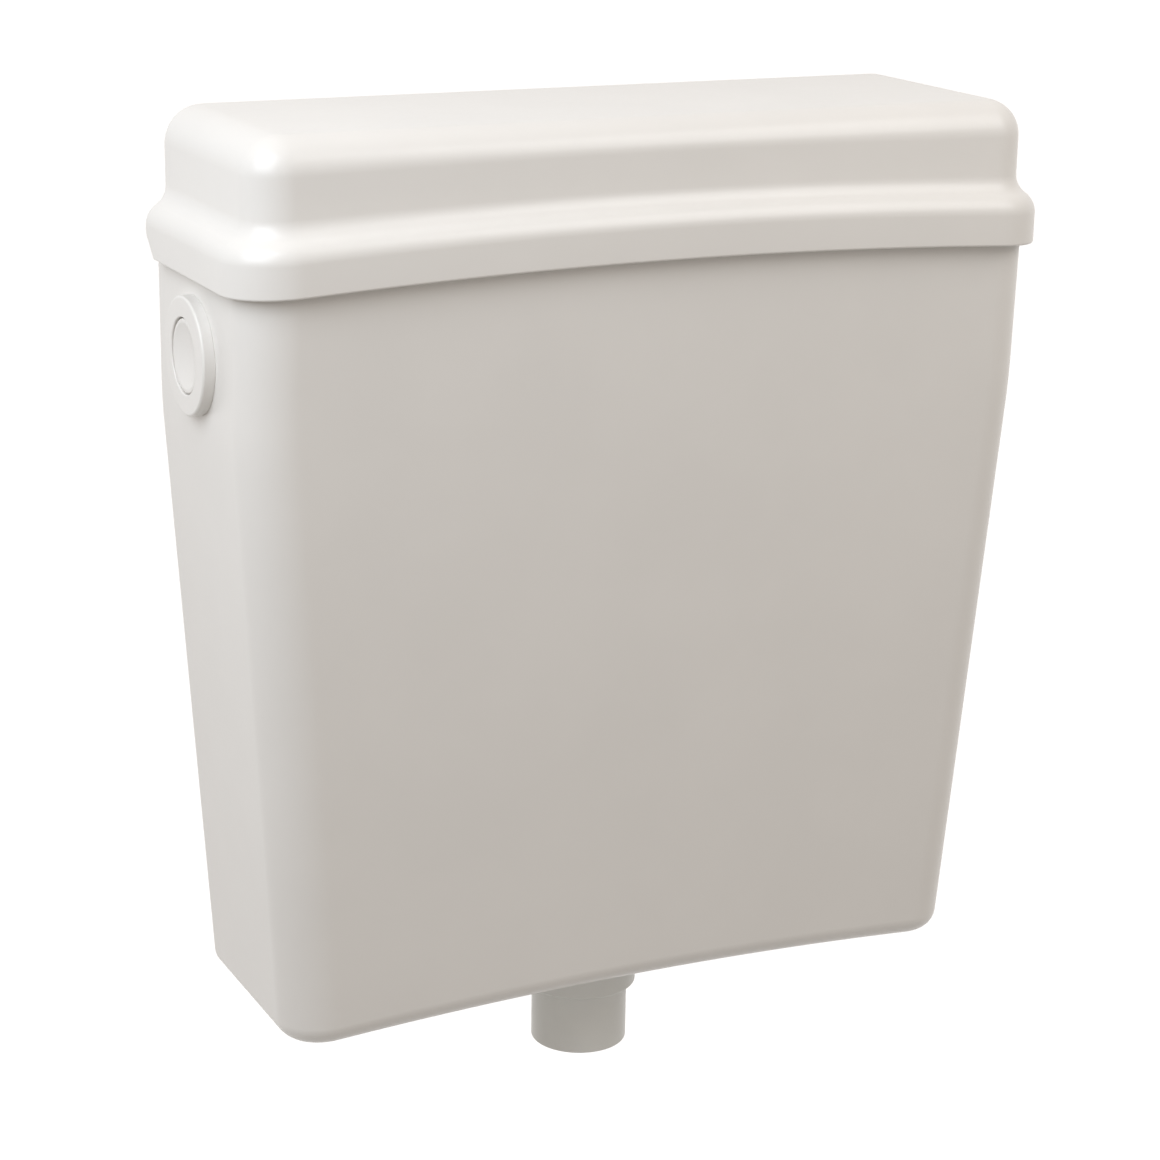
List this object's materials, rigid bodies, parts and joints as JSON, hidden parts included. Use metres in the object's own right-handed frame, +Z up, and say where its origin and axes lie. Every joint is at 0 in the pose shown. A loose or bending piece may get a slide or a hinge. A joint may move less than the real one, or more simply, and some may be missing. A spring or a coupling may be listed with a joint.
{
  "type": "toilet cistern",
  "caption": "White wall-hung plastic toilet cistern with a lift-off lid, side push button, lever-lifted flush valve, float valve and bottom outlet spigot.",
  "frame": {"origin": "middle of the two wall fixing holes, on the wall plane of the tank's back", "axes": "+X to the user's right, +Y into the wall, +Z up"},
  "size_m": [0.447, 0.139, 0.4941],
  "materials": {
    "white_shell": "moulded, satin gloss",
    "white_fitting": "moulded, smooth",
    "grey_fitting": "moulded, matt",
    "blue_fitting": "moulded, matt",
    "red_fitting": "moulded, matt",
    "black_rubber": "matt",
    "steel": "bright drawn",
    "brass": "turned"
  },
  "bodies": {
    "cistern": {"tank": "white_shell", "button_bezel": "white_shell", "bezel_nut": "white_fitting", "tail_nut": "white_fitting", "outlet_spigot": "white_fitting", "valve_seat": "white_fitting", "inlet_nut": "white_fitting", "float_valve_body": "white_fitting", "lever_bracket": "grey_fitting", "valve_cage": "grey_fitting", "barrel_cap": "grey_fitting", "fill_tube": "grey_fitting", "seat_gasket": "black_rubber", "tail_washer": "black_rubber", "inlet_washer": "black_rubber", "button_spring": "steel", "lever_pin": "steel", "float_pin": "steel", "inlet_nozzle": "brass"},
    "lid": {"lid": "white_shell"},
    "button": {"push_button": "white_shell", "push_rod": "grey_fitting"},
    "lever": {"flush_lever": "blue_fitting"},
    "plunger": {"overflow_tube": "white_fitting", "flush_seal": "black_rubber", "lift_yoke": "blue_fitting", "lift_pin": "steel"},
    "float_lever": {"float_arm": "brass", "float": "blue_fitting"},
    "piston": {"valve_piston": "red_fitting", "piston_washer": "black_rubber"}
  },
  "joints": [
    {"name": "lid_lift", "type": "slide", "parent": "cistern", "child": "lid", "axis": [0, 0, 1], "range_m": [0, 0.12]},
    {"name": "button_press", "type": "slide", "parent": "cistern", "child": "button", "axis": [1, 0, 0], "range_m": [0, 0.0105], "stiffness_N_per_m": 600, "springref_m": -0.008, "deforming": ["button_spring"]},
    {"name": "lever_turn", "type": "hinge", "parent": "cistern", "child": "lever", "pos_m": [-0.062, -0.049, 0.0245], "axis": [0, -1, 0], "range_deg": [0, 17.19]},
    {"name": "plunger_lift", "type": "slide", "parent": "cistern", "child": "plunger", "axis": [0, 0, 1], "range_m": [0, 0.0197]},
    {"name": "float_swing", "type": "hinge", "parent": "cistern", "child": "float_lever", "pos_m": [0.16378, -0.05, -0.0315], "axis": [0, 1, 0], "range_deg": [0, 30]},
    {"name": "piston_slide", "type": "slide", "parent": "cistern", "child": "piston", "axis": [1, 0, 0], "range_m": [0, 0.00725]}
  ],
  "couplings": [
    {"joint": "lever_turn", "follows": "button_press", "rad_per_m": 28.571},
    {"joint": "plunger_lift", "follows": "button_press", "ratio": 1.8714},
    {"joint": "piston_slide", "follows": "float_swing", "m_per_rad": 0.013841}
  ]
}
